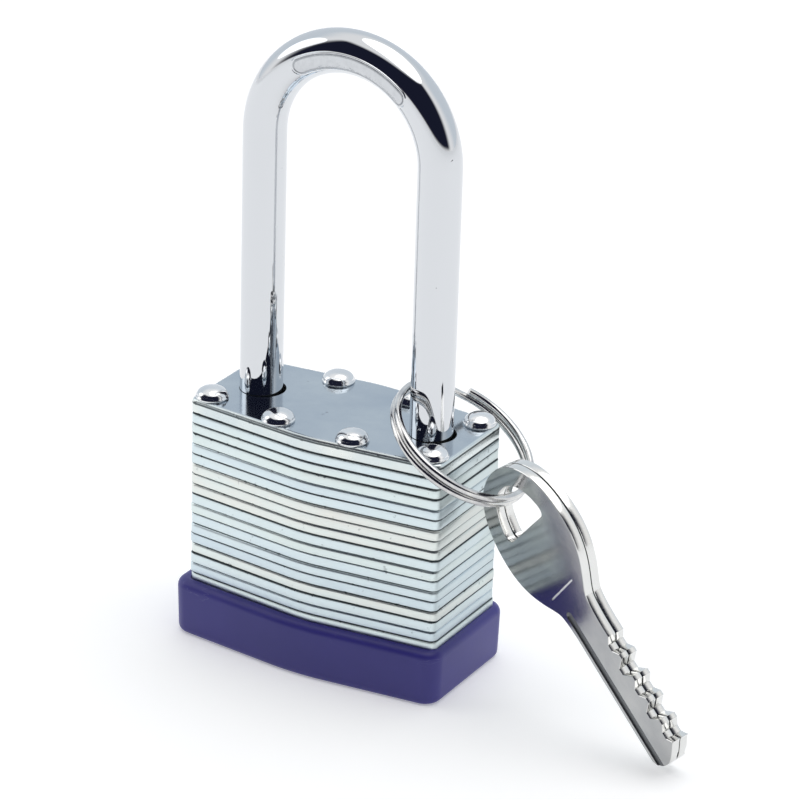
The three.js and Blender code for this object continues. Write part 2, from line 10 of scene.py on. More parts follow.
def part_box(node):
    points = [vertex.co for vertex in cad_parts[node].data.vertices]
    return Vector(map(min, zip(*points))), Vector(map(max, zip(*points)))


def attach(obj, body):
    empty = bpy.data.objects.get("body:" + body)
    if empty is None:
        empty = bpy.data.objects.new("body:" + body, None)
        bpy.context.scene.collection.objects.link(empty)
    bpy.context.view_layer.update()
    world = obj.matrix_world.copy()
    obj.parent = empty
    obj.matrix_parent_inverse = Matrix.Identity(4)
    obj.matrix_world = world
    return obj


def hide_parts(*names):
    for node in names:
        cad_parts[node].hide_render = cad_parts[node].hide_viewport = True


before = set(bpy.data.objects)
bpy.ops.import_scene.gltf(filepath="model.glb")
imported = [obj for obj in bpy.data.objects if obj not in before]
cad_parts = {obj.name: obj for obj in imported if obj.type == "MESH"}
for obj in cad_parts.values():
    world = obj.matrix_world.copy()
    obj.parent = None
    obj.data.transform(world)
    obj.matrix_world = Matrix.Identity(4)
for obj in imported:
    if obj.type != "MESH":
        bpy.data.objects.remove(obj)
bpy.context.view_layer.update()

MM = 0.001
UP = Vector((0, 0, 1))

# ------------------------------------------------------------------ sizes taken from the frame
TOP_LOW, TOP_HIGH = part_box("top_plate")
CENTRE_X = (TOP_LOW.x + TOP_HIGH.x) / 2
HALF_WIDTH = (TOP_HIGH.x - TOP_LOW.x) / 2
BODY_TOP = TOP_HIGH.z
BUMPER_LOW, BUMPER_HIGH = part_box("bumper")
SHACKLE_LOW, SHACKLE_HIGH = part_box("shackle")
BUMPER_WALL = 1.55 * MM
BUMPER_FLOOR = 1.6 * MM
BUMPER_OFFSET = 0.4 * MM  # the tray's outside stands this much further out on the left
KEY_OPENING_RADIUS = 6.4 * MM
LAMINATIONS = [f"lamination_{number:02d}" for number in range(1, 21)]
LAMINATION_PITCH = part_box("lamination_01")[0].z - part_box("lamination_02")[0].z
STACK_TOP = (TOP_LOW.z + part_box("lamination_01")[1].z) / 2

# Outline of the plates: a six-sided shape, deepest in the middle.
SIDE_HALF_DEPTH = 8.52 * MM
MIDDLE_HALF_DEPTH = 10.64 * MM

# Pockets in the plates for the works.
BOLT_SLOT_HALF_WIDTH = 3.3 * MM
CAM_POCKET_RADIUS = 5 * MM
NOSE_HOLE_RADIUS = 4.85 * MM
CYLINDER_POCKET_RADIUS = 7.6 * MM
PIN_BLOCK_HALF_WIDTH = 2.85 * MM

# Shackle rod, leg holes and the hidden heel.
ROD_RADIUS = 3.04 * MM
LEG_X = 13.69 * MM
ARCH_CENTRE_Z = SHACKLE_HIGH.z - LEG_X - ROD_RADIUS
TOE_END_Z = 25.2 * MM
NOTCH_Z = 29.3 * MM
NOTCH_HALF_HEIGHT = 1.7 * MM
NOTCH_DEPTH = 1.6 * MM
NECK_RADIUS = 2 * MM
NECK_TOP_Z = 24.5 * MM
NECK_BOTTOM_Z = 10.6 * MM
LEG_HOLE_RADIUS = 3.42 * MM
TOP_HOLE_RADIUS = 3.3 * MM

# Blank raised border on the arch, measured along the rod and around it.
BORDER_MIDDLE = 1.2 * MM
BORDER_HALF_LENGTH = 8.5 * MM
BORDER_DROP = 0.8 * MM
BORDER_RADIUS = 1.22 * MM
BORDER_WIDTH = 0.2 * MM

# Split ring.
RING_RADIUS = 10.5 * MM
RING_WIRE_RADIUS = 0.52 * MM
RING_PITCH = 1.12 * MM
RING_CENTRE = Vector((CENTRE_X + 18.55 * MM, 0.1 * MM, 36 * MM))
RING_NORMAL = Vector((0.537, 0.033, 0.843)).normalized()


def ring_frame():
    """Ring plane: X down the slope, Z along the ring's normal."""
    downhill = (-UP - RING_NORMAL * RING_NORMAL.dot(-UP)).normalized()
    across = RING_NORMAL.cross(downhill)
    return Matrix.Translation(RING_CENTRE) @ Matrix((downhill, across, RING_NORMAL)).transposed().to_4x4()


def on_ring(angle):
    """Point of the wire's centre line at an angle from the ring's lowest point."""
    return ring_frame() @ (Vector((cos(angle), sin(angle), 0)) * RING_RADIUS)


# Keys.
KEY_LENGTH = 45.6 * MM
KEY_THICKNESS = 1.3 * MM
BLADE_START = 25.5 * MM
BLADE_HALF_WIDTH = 3.8 * MM
GROOVE_START = 21.2 * MM
GROOVE_DEPTH = 0.22 * MM
SCRIBE_X = 18.4 * MM
SCRIBE_DEPTH = 0.1 * MM
FIRST_CUT = 28.6 * MM
CUT_PITCH = 3.4 * MM
CUT_DEPTHS = [1.2 * MM, 2 * MM, 1.3 * MM, 1.9 * MM, 1.1 * MM]
CUT_HALF_WIDTH = 1.35 * MM
CUT_FLOOR_HALF_WIDTH = 0.45 * MM
KEY_LENGTH_DIRECTION = Vector((0.7038, -0.1413, -0.6962)).normalized()
KEY_FACE_DIRECTION = Vector((-0.3727, -0.908, -0.1916)).normalized()
FRONT_KEY_ANGLE = radians(-16.1)
BACK_KEY_ANGLE = radians(-7.7)
KEY_SPACING = 1.411 * MM


# ------------------------------------------------------------------ camera, lights and floor
CAMERA_POSITION = Vector((CENTRE_X + 250.486 * MM, -422.25 * MM, 258.35 * MM))
CAMERA_TARGET = Vector((CENTRE_X + 9.596 * MM, -1.7 * MM, 40.6 * MM))
CAMERA_ROLL = radians(1.754)
CAMERA_LENS = 176.08


def add_camera():
    data = bpy.data.cameras.new("camera")
    data.lens = CAMERA_LENS
    data.sensor_width = 36
    data.clip_start = 0.01
    camera = bpy.data.objects.new("camera", data)
    bpy.context.scene.collection.objects.link(camera)
    turn = (CAMERA_TARGET - CAMERA_POSITION).to_track_quat("-Z", "Y").to_matrix().to_4x4()
    camera.matrix_world = Matrix.Translation(CAMERA_POSITION) @ turn @ Matrix.Rotation(CAMERA_ROLL, 4, "Z")
    bpy.context.scene.camera = camera


def add_area_light(name, position, size, power):
    data = bpy.data.lights.new(name, "AREA")
    data.shape = "ELLIPSE"
    data.size, data.size_y = size
    data.energy = power
    light = bpy.data.objects.new(name, data)
    bpy.context.scene.collection.objects.link(light)
    aim = (Vector((0, 0, 0.03)) - Vector(position)).to_track_quat("-Z", "Y").to_matrix().to_4x4()
    light.matrix_world = Matrix.Translation(position) @ aim


# ------------------------------------------------------------------ material maths
class Value:
    """A node's output that can stand in an arithmetic expression."""

    def __init__(self, finish, socket):
        self.finish = finish
        self.socket = socket

    def maths(self, operation, *values):
        return self.finish.node("Math", {"operation": operation}, dict(enumerate(values)))

    def __add__(self, other):
        return self.maths("ADD", self, other)

    def __radd__(self, other):
        return self.maths("ADD", other, self)

    def __sub__(self, other):
        return self.maths("SUBTRACT", self, other)

    def __rsub__(self, other):
        return self.maths("SUBTRACT", other, self)

    def __mul__(self, other):
        return self.maths("MULTIPLY", self, other)

    def __rmul__(self, other):
        return self.maths("MULTIPLY", other, self)

    def __truediv__(self, other):
        return self.maths("DIVIDE", self, other)

    def __pow__(self, other):
        return self.maths("POWER", self, other)

    def __abs__(self):
        return self.maths("ABSOLUTE", self)


class NodeBench:
    """Adds nodes to one node tree."""

    def __init__(self, tree):
        self.tree = tree

    def node(self, kind, settings=None, inputs=None, output=0):
        """A node of that kind with its settings and inputs; returns one of its outputs."""
        node = self.tree.nodes.new("ShaderNode" + kind)
        for name, value in (settings or {}).items():
            if name == "stops":
                self.set_stops(node.color_ramp, value)
            else:
                setattr(node, name, value)
        for name, value in (inputs or {}).items():
            self.feed(node.inputs[name], value)
        return Value(self, node.outputs[output])

    @staticmethod
    def set_stops(ramp, stops):
        while len(ramp.elements) < len(stops):
            ramp.elements.new(0.5)
        for element, (position, colour) in zip(ramp.elements, stops):
            element.position = position
            element.color = (*colour, 1) if len(colour) == 3 else colour

    def feed(self, socket, value):
        if isinstance(value, Value):
            self.tree.links.new(value.socket, socket)
        else:
            socket.default_value = value

    def axis(self, name, vector=None):
        return self.node("SeparateXYZ", inputs={0: vector or self.place}, output=name)

    def dot(self, vector, direction):
        inputs = {0: vector, 1: direction}
        return self.node("VectorMath", {"operation": "DOT_PRODUCT"}, inputs, output="Value")

    def step(self, value, low, high, to_low=0, to_high=1):
        """Smooth change of a value from one level to another."""
        return self.node("MapRange", {"interpolation_type": "SMOOTHSTEP"}, {
            "Value": value, "From Min": low, "From Max": high, "To Min": to_low, "To Max": to_high})

    def mix(self, factor, first, second):
        return self.node("Mix", {"data_type": "RGBA"}, {"Factor": factor, 6: first, 7: second}, output=2)


class Finish(NodeBench):
    """One surface finish: a material with its Principled shader."""

    def __init__(self, name, **constants):
        self.material = bpy.data.materials.new(name)
        self.material.use_nodes = True
        super().__init__(self.material.node_tree)
        self.shader = self.tree.nodes["Principled BSDF"]
        self.place = self.node("TexCoord", output="Object")
        self.facing = self.node("TexCoord", output="Normal")
        self.set(**constants)

    def set(self, **inputs):
        for name, value in inputs.items():
            self.feed(self.shader.inputs[name.replace("_", " ")], value)

    def stretched(self, scale, turn=(0, 0, 0)):
        """The object's coordinates, scaled along each axis."""
        return self.node("Mapping", inputs={"Vector": self.place, "Scale": scale, "Rotation": turn})

    def noise(self, scale, detail=3, roughness=0.5, vector=None):
        return self.node("TexNoise", inputs={
            "Vector": vector or self.place, "Scale": scale, "Detail": detail, "Roughness": roughness})

    def colours(self, factor, *stops):
        return self.node("ValToRGB", {"stops": stops}, {"Fac": factor})

    def bump(self, height, distance, strength=1):
        return self.node("Bump", inputs={"Height": height, "Distance": distance, "Strength": strength})

    def scratches(self, scale, turn, width=0.006):
        """Sparse fine lines in one direction."""
        along = self.stretched(scale, turn)
        return self.step(abs(self.noise(1, 2, vector=along) - 0.5), 0, width, 1, 0)


def rgb(red, green, blue):
    """Linear colour, with alpha, from screen values out of 255."""
    return tuple(((c / 255 + 0.055) / 1.055) ** 2.4 for c in (red, green, blue)) + (1,)


# ------------------------------------------------------------------ finishes
def plate_gaps(f):
    """The stack's joints: a point's plate, a random number for its nearest joint, and the joints' mask; the
    finishes darken the joints with it, partly grime and partly painted shade between the plates.
    """
    level = (STACK_TOP - f.axis("Z")) / LAMINATION_PITCH
    joint = f.node("Math", {"operation": "ROUND"}, {0: level})
    plate = f.node("Math", {"operation": "FLOOR"}, {0: level})
    chance = f.node("TexWhiteNoise", {"noise_dimensions": "1D"}, {"W": joint + 0.37})
    nicks = f.step(f.noise(900, 2, 0.7), 0.6, 0.72)
    distance = abs(level - joint) * LAMINATION_PITCH - (0.05 + chance * 0.1 + nicks * 0.07) * MM
    return plate, chance, f.step(distance, -0.05 * MM, 0.05 * MM, 1, 0)


def zinc_finish():
    """Cut and tumbled plate edges with a clear zinc coat: each plate has its own tint."""
    f = Finish("zinc_plate_edges", Metallic=1)
    plate, chance, gap = plate_gaps(f)
    plate_tone = f.node("TexWhiteNoise", {"noise_dimensions": "1D"}, {"W": plate + 4.13})
    clouds = f.noise(240, 3, 0.6, f.stretched((0.4, 0.4, 1.6)))
    tone = plate_tone * 0.6 + clouds * 0.45
    tint = f.colours(tone, (0.25, rgb(209, 223, 230)), (0.42, rgb(219, 232, 236)),
                     (0.66, rgb(223, 234, 232)), (0.9, rgb(235, 235, 229)))
    grain = f.noise(2600, 2, 0.7, f.stretched((1, 1, 0.35)))
    spots = f.step(f.noise(900, 2, 0.6), 0.68, 0.76)
    # Faces turned towards the plates' ends are darkened: painted shade, so the ends read darker than the
    # front. The spots are real wear.
    painted_end_shade = f.step(abs(f.axis("X", f.facing)), 0.6, 0.95)
    # Dark colour of the joint lines: partly grime in the joints, partly painted shade between the plates.
    joint_grime_and_shade = f.colours(chance, (0.2, rgb(120, 130, 134)), (0.8, rgb(58, 66, 70)))
    worn_and_shaded = f.mix(spots * 0.4 + painted_end_shade * (0.25 + clouds * 0.15), tint, rgb(140, 150, 152))
    f.set(Base_Color=f.mix(gap * 0.92, worn_and_shaded, joint_grime_and_shade),
          Roughness=0.27 + 0.16 * clouds + 0.1 * spots + 0.25 * gap)
    f.set(Normal=f.bump(grain * 0.6 + clouds * 1.6 - gap * 2, 0.03 * MM, 0.6))
    return f.material


def top_finish():
    """Smooth rolled face of the top plate over paler cut edges."""
    f = Finish("rolled_steel_face", Metallic=1)
    facing_up = f.step(f.axis("Z", f.facing), 0.8, 0.98)
    gap = plate_gaps(f)[2]
    clouds = f.noise(110, 4, 0.6)
    fine = f.noise(1500, 2)
    face = f.colours(clouds, (0.3, rgb(174, 185, 196)), (0.7, rgb(190, 199, 206)))
    edge = f.colours(clouds, (0.3, rgb(206, 218, 222)), (0.7, rgb(232, 236, 232)))
    pits = f.step(f.noise(420, 2, 0.5), 0.72, 0.76)
    worn_face = f.mix(pits * 0.4, face, rgb(110, 118, 126))
    # The joint under the top plate is darkened: partly grime, partly painted shade between the plates.
    f.set(Base_Color=f.mix(gap * 0.92, f.mix(facing_up, edge, worn_face), rgb(60, 68, 72)),
          Roughness=0.26 - facing_up * 0.14 + fine * 0.04 + pits * 0.1)
    f.set(Normal=f.bump(fine * 0.3 + clouds, 0.02 * MM, 0.5))
    return f.material


def chrome_finish():
    """Bright chrome with a plain raised border, pressed in around the arch, and a painted shadow along the
    border's inner side.
    """
    f = Finish("bright_chrome", Metallic=1)
    x, y, z = (f.axis(name) for name in "XYZ")
    across = x - CENTRE_X
    up = z - ARCH_CENTRE_Z
    reach = (across * across + up * up) ** 0.5
    along = f.node("Math", {"operation": "ARCTAN2"}, {0: across, 1: up}) * LEG_X
    around = f.node("Math", {"operation": "ARCTAN2"}, {0: reach - LEG_X, 1: 0 - y}) * ROD_RADIUS
    past_end = f.node("Math", {"operation": "MAXIMUM"}, {
        0: abs(along - BORDER_MIDDLE) - BORDER_HALF_LENGTH, 1: 0})
    aside = abs(around + BORDER_DROP)
    border = (past_end * past_end + aside * aside) ** 0.5
    inner = BORDER_RADIUS - BORDER_WIDTH
    ridge = f.step(abs(border - BORDER_RADIUS), 0.08 * MM, 0.3 * MM, 1, 0)
    # Dark line along the inner side of the raised border: painted shadow of the ridge, which is only a bump.
    painted_ridge_shadow = f.step(abs(border - inner), 0.05 * MM, 0.24 * MM, 1, 0)
    field = f.step(border, inner, inner + 0.15 * MM, 1, 0)
    stipple = f.noise(1500, 3, 0.6)
    ripple = f.noise(90, 2, 0.5, f.stretched((1, 1, 0.6)))
    marks = f.step(f.noise(700, 2, 0.5), 0.74, 0.8)
    f.set(Base_Color=f.mix(painted_ridge_shadow * 0.45 + field * stipple * 0.3, rgb(213, 215, 218), rgb(112, 117, 124)),
          Roughness=0.035 + field * 0.08 + marks * 0.12)
    f.set(Normal=f.bump(ridge * 0.16 + field * (stipple * 0.14) - marks * 0.05 + ripple * 0.1, 1 * MM, 0.9))
    return f.material


def rivet_finish():
    """Domed heads, peened smooth, with soft dents."""
    f = Finish("peened_rivet_steel", Metallic=1)
    dents = f.noise(420, 1, 0.4)
    fine = f.noise(1800, 2)
    f.set(Base_Color=f.colours(f.noise(260, 2), (0.3, rgb(212, 216, 220)), (0.7, rgb(238, 238, 238))),
          Roughness=0.07 + fine * 0.1)
    f.set(Normal=f.bump(dents, 0.16 * MM, 0.7))
    return f.material


def bumper_finish():
    """Moulded violet-blue plastic, satin, with handling scuffs towards its rim."""
    f = Finish("moulded_blue_plastic", IOR=1.5, Specular_IOR_Level=0.5)
    clouds = f.noise(60, 3, 0.6)
    grain = f.noise(3200, 2, 0.6)
    near_rim = f.step(f.axis("Z"), BUMPER_HIGH.z - 2.6 * MM, BUMPER_HIGH.z - 0.4 * MM)
    scuffs = f.scratches((150, 150, 900), (0.25, 0.2, 0.1), 0.012) * near_rim * f.step(clouds, 0.5, 0.65)
    body = f.colours(clouds, (0.3, rgb(47, 43, 124)), (0.7, rgb(56, 51, 135)))
    f.set(Base_Color=f.mix(scuffs * 0.5, body, rgb(120, 118, 178)),
          Roughness=0.36 + clouds * 0.1 + scuffs * 0.15)
    f.set(Normal=f.bump(grain * 0.5 + clouds, 0.03 * MM, 0.5))
    return f.material


def nickel_finish():
    """Nickel plate on the keys: polished flats with lengthwise lines, edges painted brighter as a highlight,
    and small dings.
    """
    f = Finish("nickel_plate", Metallic=1)
    turn = KEY_LENGTH_DIRECTION.to_track_quat("X", "Z").to_euler()
    lines = f.noise(1, 3, 0.6, f.stretched((260, 3200, 3200), tuple(-a for a in turn)))
    clouds = f.noise(150, 3, 0.55)
    dings = f.step(f.noise(620, 2, 0.5), 0.71, 0.76)
    flat = f.step(abs(f.dot(f.facing, KEY_FACE_DIRECTION)), 0.9, 0.98)
    # Height above the middle of the nearer key, so that the scribed line gets a tone of its own and the
    # grooves get painted shade.
    from_wire = f.node("VectorMath", {"operation": "SUBTRACT"}, {0: f.place, 1: on_ring(FRONT_KEY_ANGLE)})
    level = f.node("Math", {"operation": "WRAP"}, {
        0: f.dot(from_wire, KEY_FACE_DIRECTION), 1: KEY_SPACING / 2, 2: -KEY_SPACING / 2})
    along = f.dot(from_wire, KEY_LENGTH_DIRECTION)
    surface = KEY_THICKNESS / 2
    sunk = f.step(abs(level), surface - 0.07 * MM, surface - 0.04 * MM, 1, 0) * flat
    # The grooves' floors are painted a darker grey: painted shade in the recess.
    scribed, painted_groove_shade = rgb(250, 250, 250), rgb(120, 122, 124)
    sunk_tone = f.mix(f.step(along, 16 * MM, 16.2 * MM), scribed, painted_groove_shade)
    face = f.colours(clouds, (0.3, rgb(176, 178, 180)), (0.7, rgb(200, 200, 199)))
    # The eased edges get a brighter colour than the flats: a painted highlight.
    f.set(Base_Color=f.mix(sunk, f.mix(flat, rgb(226, 226, 224), face), sunk_tone),
          Roughness=0.12 + lines * 0.07 + dings * 0.1 + sunk * 0.3)
    f.set(Normal=f.bump(lines * 0.25 + clouds * 1.2 - dings * 0.5, 0.03 * MM, 0.6))
    return f.material


def wire_finish():
    """Drawn nickel-plated wire of the split ring."""
    f = Finish("nickel_wire", Metallic=1)
    wear = f.noise(500, 3, 0.6)
    f.set(Base_Color=f.colours(wear, (0.3, rgb(190, 190, 192)), (0.7, rgb(226, 225, 222))),
          Roughness=0.09 + wear * 0.1)
    f.set(Normal=f.bump(f.noise(1600, 2), 0.015 * MM, 0.5))
    return f.material


def machined_finish(name, dark, light, roughness):
    """Turned or milled metal of the hidden works."""
    f = Finish(name, Metallic=1)
    rings = f.noise(1, 2, 0.6, f.stretched((500, 500, 5200)))
    clouds = f.noise(300, 3, 0.6)
    f.set(Base_Color=f.colours(clouds, (0.3, dark), (0.7, light)), Roughness=roughness + rings * 0.12)
    f.set(Normal=f.bump(rings * 0.5 + clouds * 0.6, 0.02 * MM, 0.6))
    return f.material


ZINC = zinc_finish()
TOP_STEEL = top_finish()
CHROME = chrome_finish()
RIVET_STEEL = rivet_finish()
BUMPER_PLASTIC = bumper_finish()
NICKEL = nickel_finish()
WIRE = wire_finish()
BRASS = machined_finish("turned_brass", rgb(190, 148, 70), rgb(222, 184, 104), 0.22)
PLATED_STEEL = machined_finish("dull_plated_steel", rgb(150, 154, 158), rgb(184, 186, 188), 0.32)
SPRING_STEEL = machined_finish("spring_wire", rgb(128, 132, 138), rgb(172, 174, 178), 0.28)


# ------------------------------------------------------------------ mesh helpers
def sharpen(bm, angle=32, flat_axis=UP):
    """Smooth shading, with real edges and the rims of flat faces kept crisp."""
    for face in bm.faces:
        face.smooth = True
    for edge in bm.edges:
        if len(edge.link_faces) == 2:
            flat = [abs(face.normal.dot(flat_axis)) > 0.9999 for face in edge.link_faces]
            edge.smooth = edge.calc_face_angle() < radians(angle) and flat[0] == flat[1]


def to_object(name, bm):
    bmesh.ops.recalc_face_normals(bm, faces=bm.faces)
    mesh = bpy.data.meshes.new(name)
    bm.to_mesh(mesh)
    bm.free()
    thing = bpy.data.objects.new(name, mesh)
    bpy.context.scene.collection.objects.link(thing)
    return thing


def cut_away(thing, cutters):
    """Takes each cutter's shape out of a piece and leaves a plain mesh."""
    for cutter in cutters:
        modifier = thing.modifiers.new("cut", "BOOLEAN")
        modifier.operation = "DIFFERENCE"
        modifier.solver = "EXACT"
        modifier.object = cutter
    apply_modifiers(thing)


def apply_modifiers(thing):
    evaluated = thing.evaluated_get(bpy.context.evaluated_depsgraph_get())
    mesh = bpy.data.meshes.new_from_object(evaluated)
    thing.modifiers.clear()
    thing.data = mesh


def discard(things):
    for thing in things:
        bpy.data.objects.remove(thing)


def fit(thing, material, body, nodes, angle=32, flat_axis=UP):
    """Finishes a piece: shading, material, the body it rides on and the nodes it stands for."""
    bm = bmesh.new()
    bm.from_mesh(thing.data)
    bmesh.ops.remove_doubles(bm, verts=bm.verts, dist=1e-7)
    sharpen(bm, angle, flat_axis)
    bm.to_mesh(thing.data)
    bm.free()
    thing.data.materials.clear()
    thing.data.materials.append(material)
    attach(thing, body)
    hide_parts(*nodes)


def box_mesh(bm, low, high):
    """Box between two corners."""
    made = bmesh.ops.create_cube(bm, size=1)["verts"]
    bmesh.ops.scale(bm, vec=Vector(high) - Vector(low), verts=made)
    bmesh.ops.translate(bm, vec=(Vector(high) + Vector(low)) / 2, verts=made)
    return made


def post_mesh(bm, x, y, radius, low, high, sides=48):
    """Upright cylinder."""
    made = bmesh.ops.create_cone(bm, cap_ends=True, segments=sides, radius1=radius, radius2=radius,
                                 depth=high - low)["verts"]
    bmesh.ops.translate(bm, vec=(x, y, (low + high) / 2), verts=made)
    return made


def body_slab(bm, low, high, outset=0.0, corner=0.95 * MM, shoulder=2.4 * MM, segments=6):
    """Six-sided slab with rounded corners; returns the edges of its lower and upper rims."""
    slope = math.atan((MIDDLE_HALF_DEPTH - SIDE_HALF_DEPTH) / HALF_WIDTH)
    width = HALF_WIDTH + outset
    middle = MIDDLE_HALF_DEPTH + outset / cos(slope)
    side = middle - width * math.tan(slope)
    points = [(width, side), (0, middle), (-width, side), (-width, -side), (0, -middle), (width, -side)]
    verts = [bm.verts.new((CENTRE_X + x, y, low)) for x, y in points]
    face = bm.faces.new(verts)
    ends = [verts[i] for i in (0, 2, 3, 5)]
    for corners, offset in (([verts[1], verts[4]], shoulder), (ends, corner)):
        bmesh.ops.bevel(bm, geom=corners, offset=offset, segments=segments, profile=0.5, affect="VERTICES",
                        material=-1)
    face = max(bm.faces, key=lambda f: f.calc_area())
    raised = bmesh.ops.extrude_face_region(bm, geom=[face])["geom"]
    raised = [v for v in raised if isinstance(v, bmesh.types.BMVert)]
    bmesh.ops.translate(bm, vec=(0, 0, high - low), verts=raised)
    return {"low": rim_at(bm, low), "high": rim_at(bm, high)}


def rim_at(bm, z):
    """Edges that lie at one height."""
    return [e for e in bm.edges if all(abs(v.co.z - z) < 1e-7 for v in e.verts)]


def round_rim(bm, edges, radius, segments=3):
    bmesh.ops.bevel(bm, geom=edges, offset=radius, segments=segments, profile=0.5, affect="EDGES",
                    material=-1, clamp_overlap=True)


# ------------------------------------------------------------------ plates
RIVET_CENTRES = [(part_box(f"rivet_{i}")[0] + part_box(f"rivet_{i}")[1]) / 2 for i in range(1, 9)]
RIVET_HOLE_RADIUS = 1.6 * MM


def stack_cutters():
    """The shapes that are cut out of the plates: legs, rivet holes, and the pockets of the works."""
    below, above = -1 * MM, 40 * MM
    shapes = {name: bmesh.new() for name in ("rivets", "top_toe", "top_heel", "toe", "heel", "bolt", "cam",
                                             "heel_pin", "cylinder", "nose", "pin_block")}
    for centre in RIVET_CENTRES:
        post_mesh(shapes["rivets"], centre.x, centre.y, RIVET_HOLE_RADIUS, below, above, 20)
    for name, x in (("top_toe", CENTRE_X - LEG_X), ("top_heel", CENTRE_X + LEG_X)):
        post_mesh(shapes[name], x + 0.2 * MM, 0.08 * MM, TOP_HOLE_RADIUS, below, above, 72)
    post_mesh(shapes["toe"], CENTRE_X - LEG_X, 0, LEG_HOLE_RADIUS, below, above, 64)
    post_mesh(shapes["heel"], CENTRE_X + LEG_X, 0, LEG_HOLE_RADIUS, below, above, 64)
    post_mesh(shapes["cam"], CENTRE_X, 0, CAM_POCKET_RADIUS, below, above, 32)
    post_mesh(shapes["nose"], CENTRE_X, 0, NOSE_HOLE_RADIUS, below, above, 48)
    post_mesh(shapes["cylinder"], CENTRE_X, 0, CYLINDER_POCKET_RADIUS, below, above, 48)
    for name, left, right, half_width in (("bolt", -12.5 * MM, 9.2 * MM, BOLT_SLOT_HALF_WIDTH),
                                          ("heel_pin", 9 * MM, 11.8 * MM, 5.2 * MM),
                                          ("pin_block", -17.5 * MM, 0, PIN_BLOCK_HALF_WIDTH)):
        box_mesh(shapes[name], (CENTRE_X + left, -half_width, below), (CENTRE_X + right, half_width, above))
    return {name: to_object("cutter_" + name, bm) for name, bm in shapes.items()}


def openings(number):
    """Names of the cutters for one lamination, counted from the top."""
    if number <= 2:
        return ["toe", "heel"]
    if number <= 4:
        return ["toe", "heel", "bolt"]
    if number <= 6:
        return ["toe", "heel", "cam"]
    if number <= 8:
        return ["heel", "heel_pin", "cam"]
    if number == 9:
        return ["heel", "cam"]
    return ["heel", "cylinder", "pin_block"]


def plate(name, low, high, cutters, material, slot, rims, shift=(0.0, 0.0), yaw=0.0):
    """One stamped plate: its upper and lower rims are rounded by the punch."""
    bm = bmesh.new()
    edges = body_slab(bm, low, high)
    lower, upper = rims
    round_rim(bm, edges["high"], upper)
    round_rim(bm, rim_at(bm, low), lower, 2)
    centre = Matrix.Translation((CENTRE_X, 0, 0))
    turn = centre @ Matrix.Rotation(yaw, 4, "Z") @ centre.inverted()
    bmesh.ops.transform(bm, matrix=Matrix.Translation((*shift, 0)) @ turn, verts=bm.verts)
    thing = to_object("plate_" + name, bm)
    cut_away(thing, cutters)
    fit(thing, material, "lock_body", [name])


def add_plates():
    cutters = stack_cutters()
    plate("top_plate", TOP_LOW.z, TOP_HIGH.z, [cutters[n] for n in ("rivets", "top_toe", "top_heel")],
          TOP_STEEL, "top_steel", (0.25 * MM, 0.45 * MM))
    for number, name in enumerate(LAMINATIONS, 1):
        low, high = (corner.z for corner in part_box(name))
        # Each plate sits a little off its neighbours, and no two were punched alike.
        wobble = [sin(number * k) for k in (2.3, 4.1, 1.7, 5.9, 3.3)]
        shift = (0.07 * MM * wobble[0], 0.06 * MM * wobble[1])
        rims = ((0.1 + 0.05 * wobble[3]) * MM, (0.3 + 0.1 * wobble[4]) * MM)
        plate(name, low, high, [cutters[n] for n in ["rivets", *openings(number)]], ZINC, "zinc_steel",
              rims, shift, radians(0.12) * wobble[2])
    low, high = (corner.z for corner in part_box("bottom_plate"))
    plate("bottom_plate", low, high, [cutters["rivets"], cutters["nose"]], ZINC, "zinc_steel",
          (0.1 * MM, 0.2 * MM))
    discard(cutters.values())


# ------------------------------------------------------------------ rivets
def add_rivets():
    """Domed heads on a short collar, with the shank running down through the stack."""
    for number, centre in enumerate(RIVET_CENTRES, 1):
        low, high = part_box(f"rivet_{number}")
        head = (high.x - low.x) / 2
        rim = BODY_TOP + 0.03 * MM
        shoulder = rim + 0.4 * MM
        dome = [((head - 0.14 * MM) * cos(radians(a)), shoulder + (high.z - shoulder) * sin(radians(a)))
                for a in range(0, 90, 9)]
        profile = [(0, low.z), (1.4 * MM, low.z), (1.5 * MM, low.z + 0.1 * MM), (1.5 * MM, rim),
                   (head - 0.12 * MM, rim), (head - 0.02 * MM, rim + 0.08 * MM), (head, rim + 0.2 * MM),
                   (head - 0.04 * MM, rim + 0.33 * MM), *dome, (0, high.z)]
        bm = bmesh.new()
        points = [bm.verts.new((centre.x + r, centre.y, z)) for r, z in profile]
        edges = [bm.edges.new(pair) for pair in zip(points, points[1:])]
        bmesh.ops.spin(bm, geom=edges + points, cent=(centre.x, centre.y, 0), axis=(0, 0, 1),
                       angle=2 * math.pi, steps=48, use_merge=True, use_duplicate=False)
        bmesh.ops.remove_doubles(bm, verts=bm.verts, dist=1e-7)
        thing = to_object(f"rivet_dome_{number}", bm)
        fit(thing, RIVET_STEEL, "lock_body", [f"rivet_{number}"], 50)


# ------------------------------------------------------------------ bumper
def add_bumper():
    """Open tray around the foot of the plates, with a soft foot, a rounded lip and a hole for the key."""
    low, high = BUMPER_LOW.z, BUMPER_HIGH.z
    bm = bmesh.new()
    edges = body_slab(bm, low, high, BUMPER_WALL, 2.3 * MM, 4 * MM, 10)
    round_rim(bm, edges["low"], 1 * MM, 5)
    round_rim(bm, rim_at(bm, high), 1.3 * MM, 6)
    for vert in bm.verts:
        draft = 1 - 0.012 * (high - vert.co.z) / (high - low)
        vert.co.x = CENTRE_X + (vert.co.x - CENTRE_X) * draft - BUMPER_OFFSET
    shell = to_object("bumper_shell", bm)
    pocket = bmesh.new()
    body_slab(pocket, low + BUMPER_FLOOR, high + 5 * MM, 0.1 * MM, 1.25 * MM, 2.45 * MM, 6)
    hole = bmesh.new()
    post_mesh(hole, CENTRE_X, 0, KEY_OPENING_RADIUS, low - 1 * MM, low + 4 * MM, 64)
    cutters = [to_object("cutter_pocket", pocket), to_object("cutter_key_hole", hole)]
    cut_away(shell, cutters)
    discard(cutters)
    fit(shell, BUMPER_PLASTIC, "lock_body", ["bumper"])


